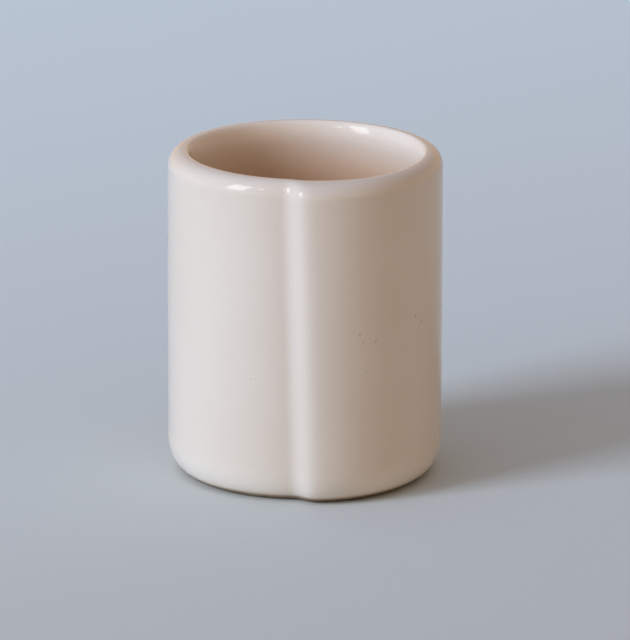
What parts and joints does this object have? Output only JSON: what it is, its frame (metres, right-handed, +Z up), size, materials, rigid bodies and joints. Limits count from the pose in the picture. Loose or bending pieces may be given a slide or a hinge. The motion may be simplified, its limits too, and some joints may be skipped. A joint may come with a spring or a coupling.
{
  "type": "shaving mug",
  "caption": "Handleless cylindrical pottery shaving mug, ivory glazed, thick rounded rim, rounded base edge and one soft vertical lap seam down the front.",
  "frame": {"origin": "on the foot plane, under the middle of the cup's outline", "axes": "+Z up out of the mouth; -Y towards the front, where the lap seam is; +X to the right seen from the front"},
  "size_m": [0.0797, 0.0802, 0.0954],
  "materials": {
    "clay": "matt fired stoneware, fine tooth, bare at the foot",
    "slip": "matt fired slip, fused into the joints",
    "exterior_glaze": "gloss ivory glaze with fine specks and slight pooling",
    "interior_glaze": "gloss ivory liner glaze"
  },
  "bodies": {
    "root": {"wall_slab": "clay", "base_slab": "clay", "base_corner_coil": "clay", "lap_seam_slip": "slip", "base_joint_slip": "slip", "exterior_glaze": "exterior_glaze", "interior_glaze": "interior_glaze"}
  },
  "joints": []
}
